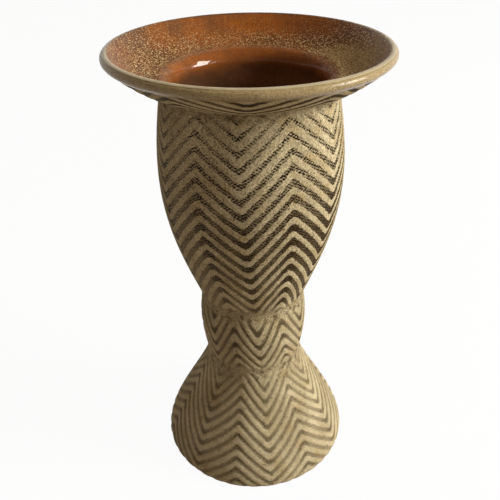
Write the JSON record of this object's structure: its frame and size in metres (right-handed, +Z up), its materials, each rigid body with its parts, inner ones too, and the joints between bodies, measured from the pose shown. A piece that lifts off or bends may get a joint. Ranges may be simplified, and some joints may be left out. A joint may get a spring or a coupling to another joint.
{
  "type": "ceramic mate cup",
  "caption": "Tall footed stoneware mate cup: flared dished rim, egg-shaped bowl, small waist knop and hollow bell foot, zigzag banded outside and glossy brown glaze inside.",
  "frame": {"origin": "centre of the foot's rest ring, on the table", "axes": "+Z up along the turning axis, from the foot to the rim; X and Y are free, because the form is turned"},
  "size_m": [0.0942, 0.0942, 0.1703],
  "materials": {
    "stoneware": "unglazed, dark zigzag bands",
    "joint_slip": "unglazed, fired slip",
    "inside_glaze": "glossy, mottled"
  },
  "bodies": {
    "root": {"flared_rim": "stoneware", "cup_body": "stoneware", "waist_knop": "stoneware", "bell_foot": "stoneware", "rim_lute": "joint_slip", "waist_lute": "joint_slip", "foot_lute": "joint_slip", "glaze_lining": "inside_glaze"}
  },
  "joints": []
}
